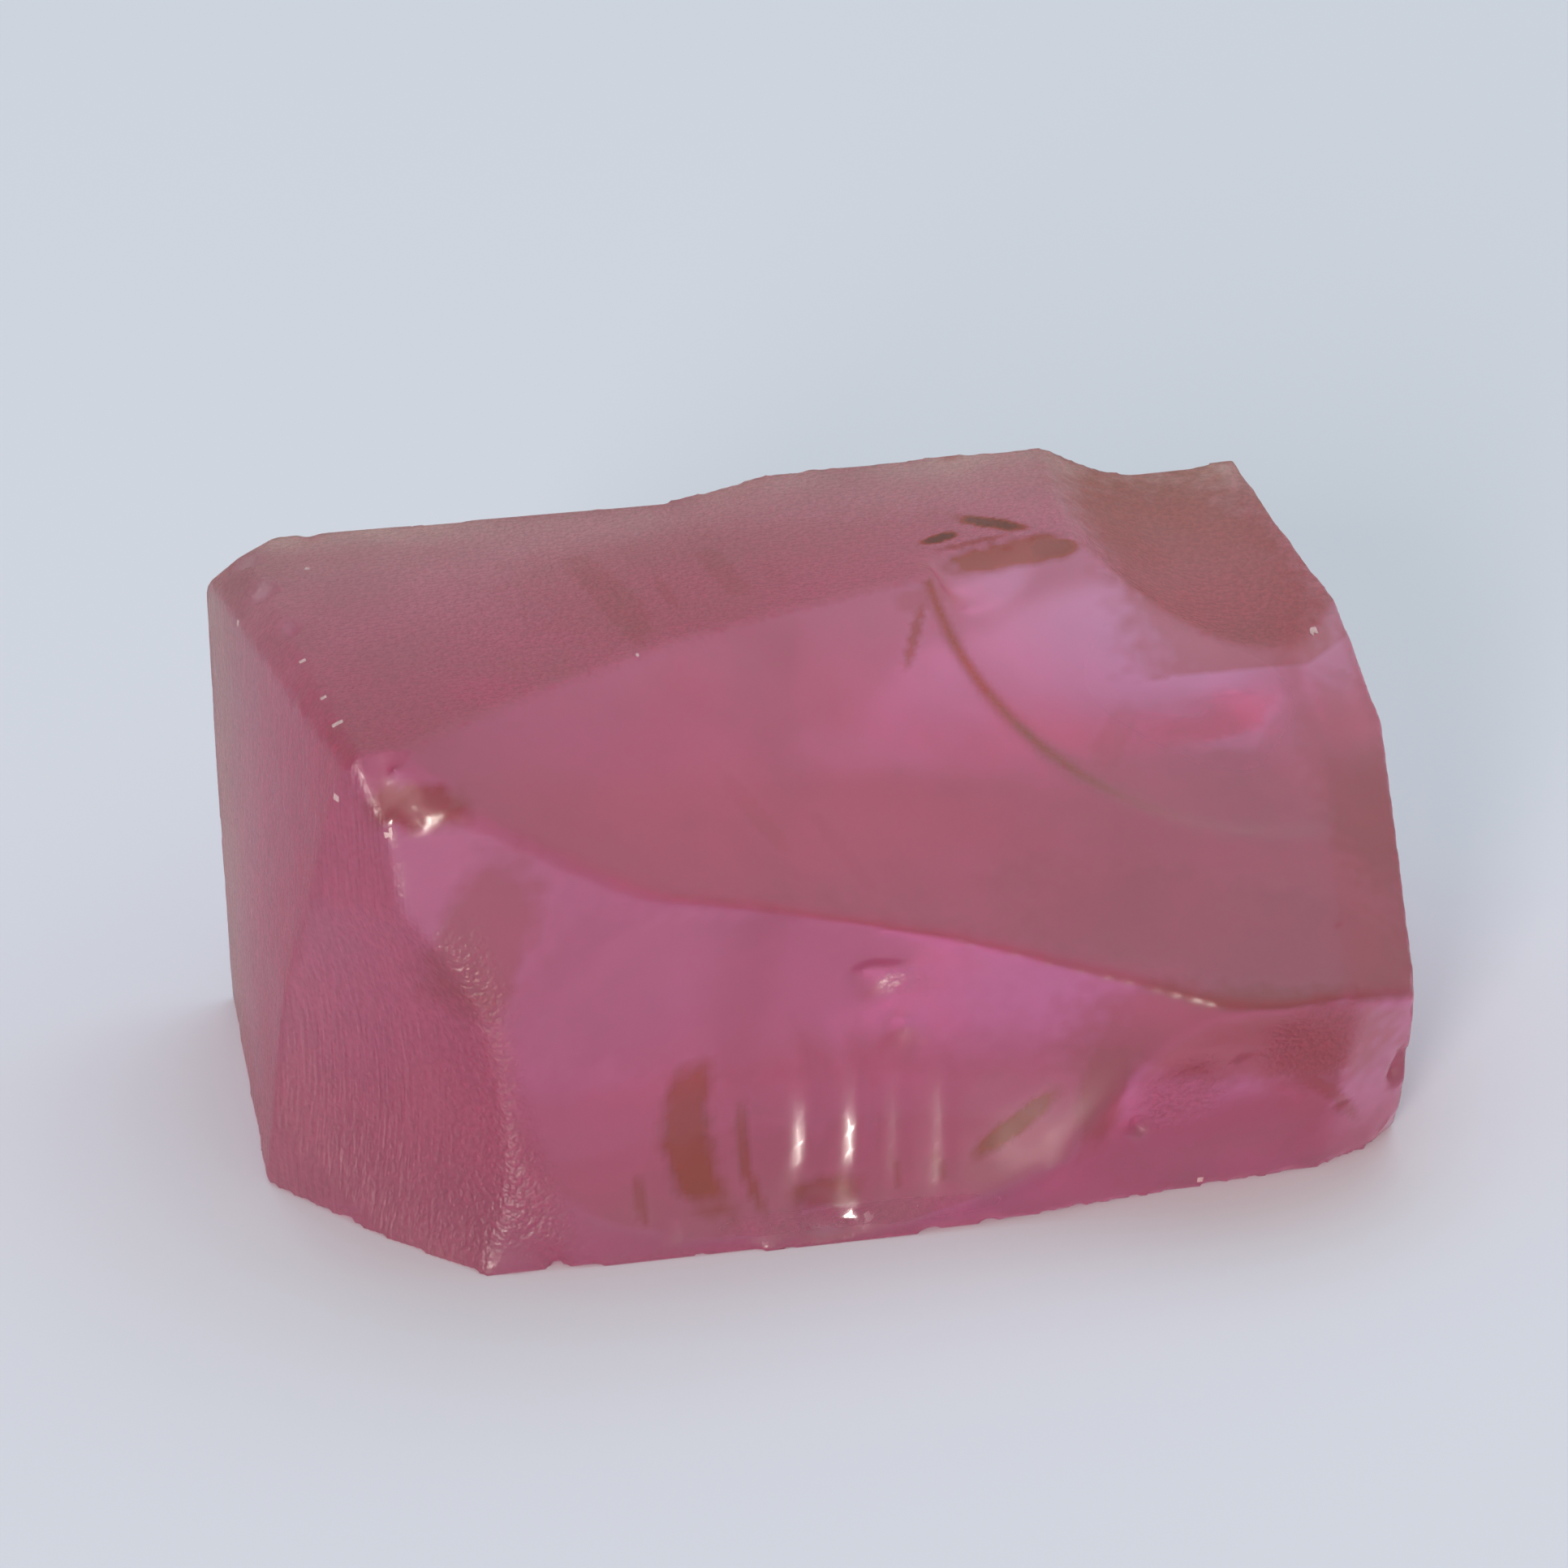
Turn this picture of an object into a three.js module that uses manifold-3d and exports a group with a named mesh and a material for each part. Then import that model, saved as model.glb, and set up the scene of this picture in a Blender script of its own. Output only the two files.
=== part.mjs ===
// Rough sapphire: one loose block of see-through pink corundum. Its top and its left end are ground flat,
// its front is broken by wide shell-shaped fractures that meet in sharp ridges, and its edges are chipped.
//
// Millimetres. x runs along the stone, y towards its back, z up. The stone is shaped as a lapidary would
// see it: a block with slightly twisted sides, from which flat facets, bowls and chips of waste are struck.

import * as THREE from "three";
import { mergeVertices } from "three/addons/utils/BufferGeometryUtils.js";
import Module from "manifold-3d";

// ----------------------------------------------------------------------------------------------------
// Driving dimensions
// ----------------------------------------------------------------------------------------------------

const HEIGHT = 16.6; // from the face it rests on to its flat top

// The block's corners, [x, y], where its sides meet the foot and the top.
const FOOT = {
  frontLeft: [-18.7, -10.0],
  frontRight: [19.4, -11.6],
  backLeft: [-17.6, 11.2],
  backRight: [19.2, 12.7],
};
const CROWN = {
  frontLeft: [-15.9, -8.7],
  frontRight: [19.4, -13.7],
  backLeft: [-18.1, 11.5],
  backRight: [17.8, 13.1],
};
const SIDE_CELLS = 5; // cells along each edge of the block, which let its sides twist smoothly

// The middle of the finished stone's box, measured in the block's own axes.
const CENTRE = [0.46, 0.59];

const WASTE = 30; // how far a piece of waste reaches out of the stone

// Flat facets: a point that each passes through, and the way that it faces.
const FACETS = {
  leftChamfer: { at: [-13.5, -9.7, 0], facing: [-0.82, -0.57, -0.061] },
  topLeftBevel: { at: [-16.5, 4.0, HEIGHT], facing: [-0.72, -0.05, 0.69] },
  topLeftBackCorner: { at: [-15.8, 10.0, HEIGHT], facing: [-0.5, 0.45, 0.74] },
  rightBevel: { at: [16.0, 0.6, 13.5], facing: [0.467, -0.466, 0.754] },
  rightFlat: { at: [19.0, 0.4, 11.4], facing: [0.98, -0.2, 0] },
  frontUndercut: { at: [10.2, -9.64, 0], facing: [0.1, -0.94, -0.32] },
  cornerUndercut: { at: [16.8, -8.1, 0], facing: [0.38, -0.87, -0.3] },
  footCorner: { at: [17.3, -10.5, 4.0], facing: [0.6, -0.6, -0.5] },
  backFootBevel: { at: [0, 11.0, 0], facing: [0.05, 0.72, -0.55] },
  rightFootBevel: { at: [17.9, 4, 0], facing: [0.8, 0.15, -0.55] },
};

// Fracture bowls: the deepest point, the way that the bowl faces, the direction of its length, its length and
// width, and its radii of curvature: along its length, then across it, where a third one is for its far side.
// Ripples spread from where the blow landed.
const BOWLS = {
  // the wide fracture that took off the upper front of the block
  upperFront: {
    at: [2, -3.5, 13.1],
    facing: [0.2, -0.531, 0.824],
    along: [0.95, 0.35, 0],
    size: [50, 36],
    radii: [74, 60],
    cells: [24, 16],
  },
  // the bright fracture inside its right end
  rightFront: {
    at: [13.9, 0.1, 13.1],
    facing: [0.013, -0.539, 0.842],
    along: [1, 0, 0],
    size: [22, 18],
    radii: [30, 31],
    cells: [20, 16],
  },
  // the dark ledge that it left just under the rim of the top
  rimLedge: {
    at: [7.2, 3.05, 15.62],
    facing: [0.02, -0.42, 0.9],
    along: [0.96, 0.26, 0],
    size: [5.2, 2.6],
    radii: [20, 30],
    cells: [6, 3],
  },
  // the notch that runs from the right end of the top down to the bright fracture
  notch: {
    at: [15.2, 5.5, 14.0],
    facing: [0, -0.13, 0.99],
    along: [-0.06, 1, 0],
    size: [28, 18],
    radii: [80, 40, 5.6],
    cells: [8, 30],
  },
  // the fracture under the front ridge
  lowerFront: {
    at: [-3.4, -8.9, 5.2],
    facing: [0, -1, 0.03],
    along: [1, 0, 0],
    size: [30, 20],
    radii: [33, 8, 17],
    cells: [50, 16],
    ripples: { blow: [-8.9, -3.6], pitch: 1.3, height: 0.05, from: 6, to: 15, top: 1 },
  },
  // the dent low on the left end
  lowerLeft: {
    at: [-15.1, -6.1, 4.9],
    facing: [-0.733, -0.68, 0],
    along: [0.68, -0.733, 0],
    size: [16, 16],
    radii: [60, 14],
    cells: [8, 14],
  },
  // the dent low on the right of the front
  lowerRight: {
    at: [9.2, -10.1, 3.9],
    facing: [0.15, -0.93, -0.32],
    along: [1, 0.15, 0],
    size: [12, 9],
    radii: [12, 7],
    cells: [14, 11],
  },
  // the fractures on the sides that face away
  lowerBack: {
    at: [7, 11.3, 5],
    facing: [0.12, 1, -0.08],
    along: [1, -0.1, 0.3],
    size: [30, 22],
    radii: [34, 16],
    cells: [20, 14],
    ripples: { blow: [9, -6], pitch: 2.4, height: 0.06, from: 3, to: 14, top: 12 },
  },
  rightEnd: {
    at: [18.0, 5.5, 5.5],
    facing: [1, 0.12, 0.1],
    along: [0, 1, 0.2],
    size: [24, 18],
    radii: [22, 18],
    cells: [16, 12],
  },
};

// Lines of small chips along the edges: the points that each line runs through, how many chips it has, and
// the smallest and largest of them across.
const CHIP_LINES = {
  topRim: {
    through: [
      [-12.8, -6.8, HEIGHT], [-10.7, -5.2, HEIGHT], [-7.9, -3.3, HEIGHT], [-3.8, -1.0, HEIGHT],
      [0, 0.6, HEIGHT], [4.2, 2.1, HEIGHT], [4.8, 3.4, HEIGHT], [9.3, 4.7, HEIGHT],
    ],
    count: 26,
    sizes: [0.35, 0.9],
  },
  topLeft: {
    through: [
      [-16.8, 8.4, HEIGHT], [-16.5, 4.6, HEIGHT], [-16.3, 1.1, HEIGHT],
      [-15.9, -4.7, HEIGHT], [-15.7, -7.8, HEIGHT],
    ],
    count: 16,
    sizes: [0.5, 1.3],
  },
  frontRidge: {
    through: [
      [-11, -9.6, 14], [-6, -10.1, 11.7], [-1, -9.6, 10.4],
      [4, -10.1, 9.1], [9, -11.3, 7.7], [12, -11.9, 7.2],
    ],
    count: 12,
    sizes: [0.3, 0.7],
  },
  notchFoot: {
    through: [[10.1, 3.7, 16.2], [11.8, 2.3, 14.8], [13.4, 1.3, 14], [15.2, 0.8, 13.6]],
    count: 9,
    sizes: [0.3, 0.7],
  },
  rightCorner: {
    through: [[16, 0.9, 13.6], [16.8, 1.6, 13.7], [17.4, 2.3, 13.8], [18.2, 3.3, 13.9]],
    count: 9,
    sizes: [0.7, 1.4],
  },
  rightEdge: {
    through: [[18.5, 2.3, 13], [18.9, 0.7, 11.7], [18.4, -2.7, 9.9], [17.6, -6.3, 8], [16.9, -9.9, 6.3]],
    count: 14,
    sizes: [0.4, 1.0],
  },
  frontFoot: {
    through: [
      [-13.1, -9.8, 0], [-6, -10.5, 0], [0, -10.7, 0], [7, -10, 0],
      [12, -9.5, 0], [14.3, -9.2, 0], [17.4, -7.1, 0],
    ],
    count: 36,
    sizes: [0.5, 1.5],
  },
  leftFoot: {
    through: [[-17.9, 6, 0], [-18.3, -2.5, 0], [-16, -6.2, 0], [-13.4, -9.4, 0]],
    count: 14,
    sizes: [0.4, 1.2],
  },
  backTop: {
    through: [[-14, 10.3, HEIGHT], [-6, 10.5, HEIGHT], [0.5, 12, HEIGHT], [9.5, 12.7, HEIGHT]],
    count: 12,
    sizes: [0.3, 0.9],
  },
};

const LARGE_CHIP = 2.5; // chips from this size across are rounder
const CHIP_WIDTH = [0.75, 1.1]; // how wide and how deep a chip is for its length: the least and the most
const CHIP_DEPTH = [0.55, 0.85];
const CHIP_SEED = 7; // scatters the chips the same way each time

// Larger chips, each with its middle and its size across: the broken corner between the top, the left end and
// the front, and the shell-shaped chip at the foot.
const CORNER_CHIPS = [
  { at: [-14.7, -9.0, 16.2], across: 3.2 },
  { at: [-13.2, -9.1, 15.5], across: 2.4 },
  { at: [-14.2, -9.5, 14.8], across: 2.2 },
  { at: [-15.5, -8.2, 15.0], across: 1.9 },
  { at: [-12.4, -8.1, 16.3], across: 1.8 },
  { at: [-16.2, 2.4, 16.9], across: 2.0 },
  { at: [-16.7, 6.6, 17.0], across: 2.2 },
  { at: [-10.9, -10.6, 0.4], across: 3.2 },
];

// The flake off the left of the back: it stops at a step where its two faces meet.
const BACK_FLAKE = {
  face: { at: [-10, 10.4, 16], facing: [-0.02, 1, 0.03] },
  step: { at: [-2.5, 10.6, 16], facing: [-0.42, 0.907, 0.05] },
};

// ----------------------------------------------------------------------------------------------------
// Solids
// ----------------------------------------------------------------------------------------------------

const WELD = 1e-5; // points nearer than this are one point

const { lerp, seededRandom } = THREE.MathUtils;
const wasm = await Module();
wasm.setup();

/** A closed geometry as a solid that can be joined and cut. */
function toSolid(geometry) {
  const bare = geometry.clone();
  bare.deleteAttribute("normal");
  bare.deleteAttribute("uv");
  const merged = mergeVertices(bare, WELD);
  const mesh = new wasm.Mesh({
    numProp: 3,
    vertProperties: merged.attributes.position.array,
    triVerts: new Uint32Array(merged.index.array),
  });
  return new wasm.Manifold(mesh);
}

/** A solid's triangles as a flat-shaded geometry. */
function toGeometry(solid) {
  const mesh = solid.getMesh();
  const geometry = new THREE.BufferGeometry();
  geometry.setAttribute("position", new THREE.BufferAttribute(mesh.vertProperties, 3));
  geometry.setIndex(new THREE.BufferAttribute(mesh.triVerts, 1));
  const flat = geometry.toNonIndexed();
  flat.computeVertexNormals();
  return flat;
}

/** Moves each point of a geometry to where `move` sends it. */
function reshape(geometry, move) {
  const position = geometry.attributes.position;
  const point = new THREE.Vector3();
  for (let i = 0; i < position.count; i++) {
    point.fromBufferAttribute(position, i);
    move(point);
    position.setXYZ(i, point.x, point.y, point.z);
  }
  return geometry;
}

/** The turn and shift that stand a tool on `at`, its z axis along `facing` and its x axis near `along`. */
function stance({ at, facing, along = [1, 0, 0] }) {
  const zAxis = new THREE.Vector3(...facing).normalize();
  const yAxis = new THREE.Vector3().crossVectors(zAxis, new THREE.Vector3(...along)).normalize();
  const xAxis = new THREE.Vector3().crossVectors(yAxis, zAxis);
  return new THREE.Matrix4().makeBasis(xAxis, yAxis, zAxis).setPosition(...at);
}

/** The block before anything is struck off it: a box whose eight corners are moved to the named ones. */
function block() {
  const geometry = new THREE.BoxGeometry(1, 1, 1, SIDE_CELLS, SIDE_CELLS, SIDE_CELLS);
  const across = (level, axis, right, back) =>
    lerp(
      lerp(level.frontLeft[axis], level.frontRight[axis], right),
      lerp(level.backLeft[axis], level.backRight[axis], right),
      back,
    );
  reshape(geometry, (p) => {
    const [right, back, up] = [p.x + 0.5, p.y + 0.5, p.z + 0.5];
    const x = lerp(across(FOOT, 0, right, back), across(CROWN, 0, right, back), up);
    const y = lerp(across(FOOT, 1, right, back), across(CROWN, 1, right, back), up);
    p.set(x, y, up * HEIGHT);
  });
  return toSolid(geometry);
}

/** The waste beyond a flat facet. */
function facetWaste(facet) {
  const geometry = new THREE.BoxGeometry(4 * WASTE, 4 * WASTE, WASTE).translate(0, 0, WASTE / 2);
  return toSolid(geometry.applyMatrix4(stance(facet)));
}

/** The waste above a fracture bowl: a box whose under side is pressed into a shallow, rippled bowl. */
function bowlWaste(bowl) {
  const [length, width] = bowl.size;
  const [radiusAlong, radiusNear, radiusFar = radiusNear] = bowl.radii;
  const geometry = new THREE.BoxGeometry(length, width, WASTE, ...bowl.cells, 1);
  geometry.translate(0, 0, WASTE / 2);
  reshape(geometry, (p) => {
    if (p.z > 0) return;
    const radiusAcross = p.y > 0 ? radiusFar : radiusNear;
    p.z = p.x ** 2 / (2 * radiusAlong) + p.y ** 2 / (2 * radiusAcross) + rippleHeight(bowl.ripples, p);
  });
  return toSolid(geometry.applyMatrix4(stance(bowl)));
}

/** The height of the rings round the blow at a point of a bowl: they swell and fade between two distances. */
function rippleHeight(ripples, point) {
  if (!ripples) return 0;
  const distance = Math.hypot(point.x - ripples.blow[0], point.y - ripples.blow[1]);
  const along = (distance - ripples.from) / (ripples.to - ripples.from);
  if (along <= 0 || along >= 1 || point.y > ripples.top) return 0;
  return ripples.height * Math.sin(Math.PI * along) * Math.sin((2 * Math.PI * distance) / ripples.pitch);
}

/** The waste of one chip: a small lump with flat sides, flattened and turned at random. */
function chipWaste(at, across) {
  const geometry = new THREE.IcosahedronGeometry(across / 2, across > LARGE_CHIP ? 1 : 0);
  geometry.scale(1, lerp(...CHIP_WIDTH, seededRandom()), lerp(...CHIP_DEPTH, seededRandom()));
  const angles = [0, 1, 2].map(() => 2 * Math.PI * seededRandom());
  const turn = new THREE.Euler(...angles);
  const matrix = new THREE.Matrix4().makeRotationFromEuler(turn).setPosition(...at);
  return toSolid(geometry.applyMatrix4(matrix));
}

/** The chips along one line, unevenly spaced, most of them small. */
function chipLine({ through, count, sizes }) {
  const line = new THREE.CatmullRomCurve3(through.map((at) => new THREE.Vector3(...at)));
  const chips = [];
  for (let i = 0; i < count; i++) {
    const at = line.getPointAt((i + seededRandom()) / count);
    const across = lerp(...sizes, seededRandom() ** 2);
    chips.push(chipWaste(at.toArray(), across));
  }
  return chips;
}

// ----------------------------------------------------------------------------------------------------
// The stone
// ----------------------------------------------------------------------------------------------------

function stoneSolid() {
  seededRandom(CHIP_SEED);
  let stone = block();
  for (const bowl of Object.values(BOWLS)) stone = stone.subtract(bowlWaste(bowl));
  for (const facet of Object.values(FACETS)) stone = stone.subtract(facetWaste(facet));
  stone = stone.subtract(facetWaste(BACK_FLAKE.face).intersect(facetWaste(BACK_FLAKE.step)));
  for (const line of Object.values(CHIP_LINES)) {
    for (const chip of chipLine(line)) stone = stone.subtract(chip);
  }
  for (const { at, across } of CORNER_CHIPS) stone = stone.subtract(chipWaste(at, across));
  return stone;
}

const material = new THREE.MeshStandardMaterial({ color: 0xb8607a, roughness: 0.25, metalness: 0 });
const stone = new THREE.Mesh(toGeometry(stoneSolid()), material);
stone.name = "rough_sapphire";
stone.position.set(-CENTRE[0], -CENTRE[1], 0);

const part = new THREE.Group();
part.add(stone);

export default part;
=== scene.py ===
"""Rough sapphire: the finished look of one loose block of pink corundum, on a plain pale studio floor.

The stone is struck the way a cutter would see it: a block, from which flat facets, shell-shaped fracture
bowls and hundreds of edge nicks are taken off. It is worked in millimetres and brought to metres last.
"""

import itertools
import math
import random

import bmesh
import bpy
from bpy.props import FloatProperty, FloatVectorProperty, IntProperty, PointerProperty
from mathutils import Matrix, Vector, noise
from mathutils.bvhtree import BVHTree
from mathutils.kdtree import KDTree


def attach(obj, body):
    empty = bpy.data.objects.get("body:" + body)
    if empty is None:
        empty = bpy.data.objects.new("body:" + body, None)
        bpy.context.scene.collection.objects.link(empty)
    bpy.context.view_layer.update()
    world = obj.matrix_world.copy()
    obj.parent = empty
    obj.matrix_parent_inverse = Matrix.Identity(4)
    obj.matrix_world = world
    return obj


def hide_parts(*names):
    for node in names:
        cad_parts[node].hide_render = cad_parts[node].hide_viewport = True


bl_info = {
    "name": "Rough Sapphire",
    "version": (1, 0, 0),
    "blender": (4, 5, 0),
    "location": "3D View > Sidebar > Rough Sapphire",
    "description": "Strikes a rough sapphire out of a block and lights it on a pale studio floor",
    "category": "Object",
}

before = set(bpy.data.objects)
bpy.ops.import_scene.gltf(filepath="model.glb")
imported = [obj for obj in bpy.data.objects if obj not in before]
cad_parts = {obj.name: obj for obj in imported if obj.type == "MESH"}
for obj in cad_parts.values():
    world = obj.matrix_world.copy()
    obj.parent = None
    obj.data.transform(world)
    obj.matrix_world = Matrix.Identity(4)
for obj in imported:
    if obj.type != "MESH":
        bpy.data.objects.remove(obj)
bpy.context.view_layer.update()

MM = 0.001


def linear(hex_colour):
    """An sRGB hex colour as the three linear values that Blender keeps."""
    channels = [int(hex_colour[i:i + 2], 16) / 255 for i in (0, 2, 4)]
    return tuple(c / 12.92 if c <= 0.04045 else ((c + 0.055) / 1.055) ** 2.4 for c in channels)


# ----------------------------------------------------------------------------------------------------
# The stone's form, in millimetres and in the block's own axes
# ----------------------------------------------------------------------------------------------------

HEIGHT = 16.6
CENTRE = (0.46, 0.59)  # the middle of the finished stone's box

# The block's corners, left then right, where its sides meet the foot and the crown.
FOOT = {"front": ((-18.7, -10.0), (19.4, -11.6)), "back": ((-17.6, 11.2), (19.2, 12.7))}
CROWN = {"front": ((-15.9, -8.7), (19.4, -13.7)), "back": ((-18.1, 11.5), (17.8, 13.1))}
SIDE_CUTS = 47
FRONT_NORMAL = -0.9  # a side whose normal's y is lower than this is the front

WASTE = 30.0  # how far a piece of waste reaches out of the stone
FACET_SIZE = (64, 48)
FACET_CELL = 0.6
BOWL_CELL = 0.25  # the mesh size on a fracture bowl

# How a face was made. It is the face's material index while the stone is struck.
FRACTURED, GROUND, NICKED, CRUSHED = 0, 1, 2, 3

WAVE_SEED = 5
WAVE_FRACTAL = (0.6, 2, 3)  # how fast its octaves fade, how much finer each one is, and how many there are
WAVES_APART = 7.3  # how far apart in the noise the waves of two kinds of face are taken
# How far a face made so departs from its true form, and the length of its waves.
WAVES = {FRACTURED: (0.035, 4.2), GROUND: (0.02, 2.6)}

# Flat facets: a point on each, the way it faces, and how it was made.
FACETS = (
    ((-13.5, -9.7, 0), (-0.82, -0.57, -0.061), GROUND),  # left chamfer
    ((-16.5, 4.0, HEIGHT), (-0.72, -0.05, 0.69), GROUND),  # top left bevel
    ((-15.8, 10.0, HEIGHT), (-0.5, 0.45, 0.74), GROUND),  # top left back corner
    ((16.0, 0.6, 13.5), (0.467, -0.466, 0.754), FRACTURED),  # right bevel
    ((19.0, 0.4, 11.4), (0.98, -0.2, 0), GROUND),  # right flat
    ((10.2, -9.64, 0), (0.1, -0.94, -0.32), FRACTURED),  # front undercut
    ((16.8, -8.1, 0), (0.38, -0.87, -0.3), FRACTURED),  # corner undercut
    ((17.3, -10.5, 4.0), (0.6, -0.6, -0.5), FRACTURED),  # foot corner
    ((0, 11.0, 0), (0.05, 0.72, -0.55), GROUND),  # back foot bevel
    ((17.9, 4, 0), (0.8, 0.15, -0.55), GROUND),  # right foot bevel
)

# Fracture bowls: the deepest point, the way the bowl faces, the direction of its length, its length and
# width, and its radii of curvature: along its length, then across it on its near and its far side.
# A rim is the steep edge of a bowl, round a centre in the bowl's own length and width. Rings spread from a
# blow: the radius, the half width and the height of each.
BOWLS = {
    "upper_front": {
        "at": (2, -3.5, 13.1), "facing": (0.2, -0.531, 0.824), "along": (0.95, 0.35, 0),
        "size": (44, 30), "radii": (74, 60, 60), "made": FRACTURED,
    },
    "right_front": {
        "at": (13.9, 0.2, 12.93), "facing": (0.013, -0.539, 0.842), "along": (1, 0, 0),
        "size": (26, 26), "radii": (30, 31, 31), "made": FRACTURED,
        "rim": {"centre": (1.1, 4.3), "radius": 10.8, "width": 0.5, "height": 0.6},
    },
    "rim_ledge": {
        "at": (7.2, 3.35, 16.0), "facing": (0.02, -0.42, 0.9), "along": (0.96, 0.26, 0),
        "size": (5.2, 2.2), "radii": (16, 8, 30), "made": FRACTURED,
    },
    "notch": {
        "at": (15.2, 5.5, 14.0), "facing": (0, -0.13, 0.99), "along": (-0.06, 1, 0),
        "size": (28, 18), "radii": (80, 40, 5.6), "made": GROUND,
    },
    "lower_front": {
        "at": (-3.4, -8.9, 5.2), "facing": (0, -1, 0.03), "along": (1, 0, 0),
        "size": (30, 20), "radii": (33, 8, 17), "made": FRACTURED, "cell": 0.14,
        "blow": (-7.4, -1.2), "rings_end": (-0.6, 2.4),
        "rings": ((4.1, 0.7, 0.06), (6.5, 0.25, 0.03), (8.5, 0.42, 0.17), (10.05, 0.36, 0.15),
                  (11.3, 0.26, 0.05), (12.7, 0.26, 0.05)),
    },
    "foot_flake": {
        "at": (-1.3, -10.2, 0.75), "facing": (-0.3, -0.88, 0.36), "along": (1, -0.34, 0.05),
        "size": (2.8, 1.1), "radii": (5, 2, 2), "made": FRACTURED, "cell": 0.14,
    },
    "high_flake": {
        "at": (0.3, -9.12, 7.9), "facing": (-0.35, -0.9, 0.3), "along": (1, -0.38, 0.1),
        "size": (2.2, 1.5), "radii": (4, 3, 3), "made": FRACTURED, "cell": 0.14,
    },
    "middle_flake": {
        "at": (0.9, -9.12, 6.1), "facing": (-0.34, -0.9, 0.32), "along": (1, -0.38, -0.3),
        "size": (1.6, 1.2), "radii": (3, 3, 3), "made": FRACTURED, "cell": 0.14,
    },
    "lower_left": {
        "at": (-15.1, -6.1, 4.9), "facing": (-0.733, -0.68, 0), "along": (0.68, -0.733, 0),
        "size": (16, 16), "radii": (60, 14, 14), "made": GROUND,
    },
    "lower_right": {
        "at": (9.2, -10.1, 3.9), "facing": (0.15, -0.93, -0.32), "along": (1, 0.15, 0),
        "size": (12, 9), "radii": (12, 7, 7), "made": FRACTURED,
    },
    "lower_back": {
        "at": (9, 11.0, 4.5), "facing": (0.1, 1, -0.3), "along": (1, -0.1, 0.1),
        "size": (30, 22), "radii": (34, 16, 16), "made": FRACTURED,
    },
    "right_end": {
        "at": (18.0, 5.5, 5.5), "facing": (1, 0.12, 0.1), "along": (0, 1, 0.2),
        "size": (24, 18), "radii": (22, 18, 18), "made": GROUND,
    },
}

# The flake off the left of the back stops where these two faces meet.
BACK_FLAKE = (((-10, 10.4, 16), (-0.02, 1, 0.03)), ((-2.5, 10.6, 16), (-0.42, 0.907, 0.05)))

SKIN_CELL = 0.2  # the mesh size of the finished stone
RIDGE_ANGLE = 18  # an edge sharper than this is worn round, in degrees
NICKED_ANGLE = 20  # and one sharper than this is nicked
SOFT_CORNER = ((-20, -15, 1), (-9, -5, 13))  # the box of the corner by the left end, as soft as a ridge

# How edges are worn round: the largest distance from the edge, and how often it is rubbed.
SOFT_RIDGE = (1.0, 10)
WORN_EDGE = (0.25, 2)
RUB = 0.5  # how far one rub brings a point towards the middle of its neighbours
FOOT_LAYER = 0.01  # what lies lower than this is the foot, and stays flat
TOP_LAYER = 0.1  # what lies this close to the top takes the top's brown, of stains and painted shade
CRUSHED_POINTS = 2  # a face with more crushed points than this is crushed
MASK_BLUR = 6  # how often the edge between two kinds of skin is evened out

# How worn the edges are in a box, given by its lowest and highest corner: how many nicks they have and how
# large those are, against the ordinary, and the share of them that is crushed. The first box that fits
# counts.
FAR = 100
FOOT_WEAR = (
    ((-FAR, -FAR, -FAR), (FAR, 0, 0.8), (1.5, 1.2, 0.1)),  # the front of the foot
    ((-FAR, -FAR, -FAR), (FAR, FAR, 0.8), (0.8, 1.2, 0.1)),  # the rest of the foot
)
RIM_WEAR = (
    ((15, -FAR, 11), (FAR, 5, FAR), (2.2, 1.1, 0.5)),  # the corner by the notch
    ((-FAR, -FAR, HEIGHT - 0.3), (-14, FAR, FAR), (1.8, 0.9, 0.5)),  # the rim above the left end
    ((-FAR, -FAR, HEIGHT - 0.3), (FAR, 4.5, FAR), (2.0, 0.85, 0.5)),  # the front rim
)
RIDGE_WEAR = (0.15, 0.6, 0.1)  # on a soft ridge above the foot
OTHER_WEAR = (0.8, 0.7, 0.2)

# Specks of crushed stone, each with its size across. Their pale powder sits where the chips glint, so they
# are also painted highlights.
CRUSHED_SPECKS_AND_PAINTED_GLINTS = (
    ((-12.74, -6.92, 16.43), 0.25), ((-15.05, -7.72, 16.6), 0.22), ((-14.93, 7.19, 16.6), 0.36),
    ((-15.93, 1.15, 16.6), 0.3), ((-16.35, 8.27, 16.6), 0.22), ((-7.09, -7.37, 13.59), 0.26),
    ((2.51, -9.72, 9.19), 0.3), ((2.3, -9.6, 9.5), 0.18), ((8.18, -11.0, 7.56), 0.25),
    ((14.84, -9.98, 7.69), 0.2), ((0.57, -9.16, 6.74), 0.2), ((1.2, -9.21, 5.86), 0.2),
    ((11.3, -10.4, 4.9), 0.2), ((7.86, -9.98, 0.4), 0.4), ((9.5, -9.8, 0.4), 0.3),
    ((10.3, -9.7, 0.4), 0.3), ((13.36, -9.68, 1.1), 0.25), ((-14.2, -9.2, 15.4), 0.3),
    ((-13.0, -9.2, 15.5), 0.28), ((-15.0, -8.6, 15.9), 0.25), ((-12.6, -8.7, 16.1), 0.25),
)
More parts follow.
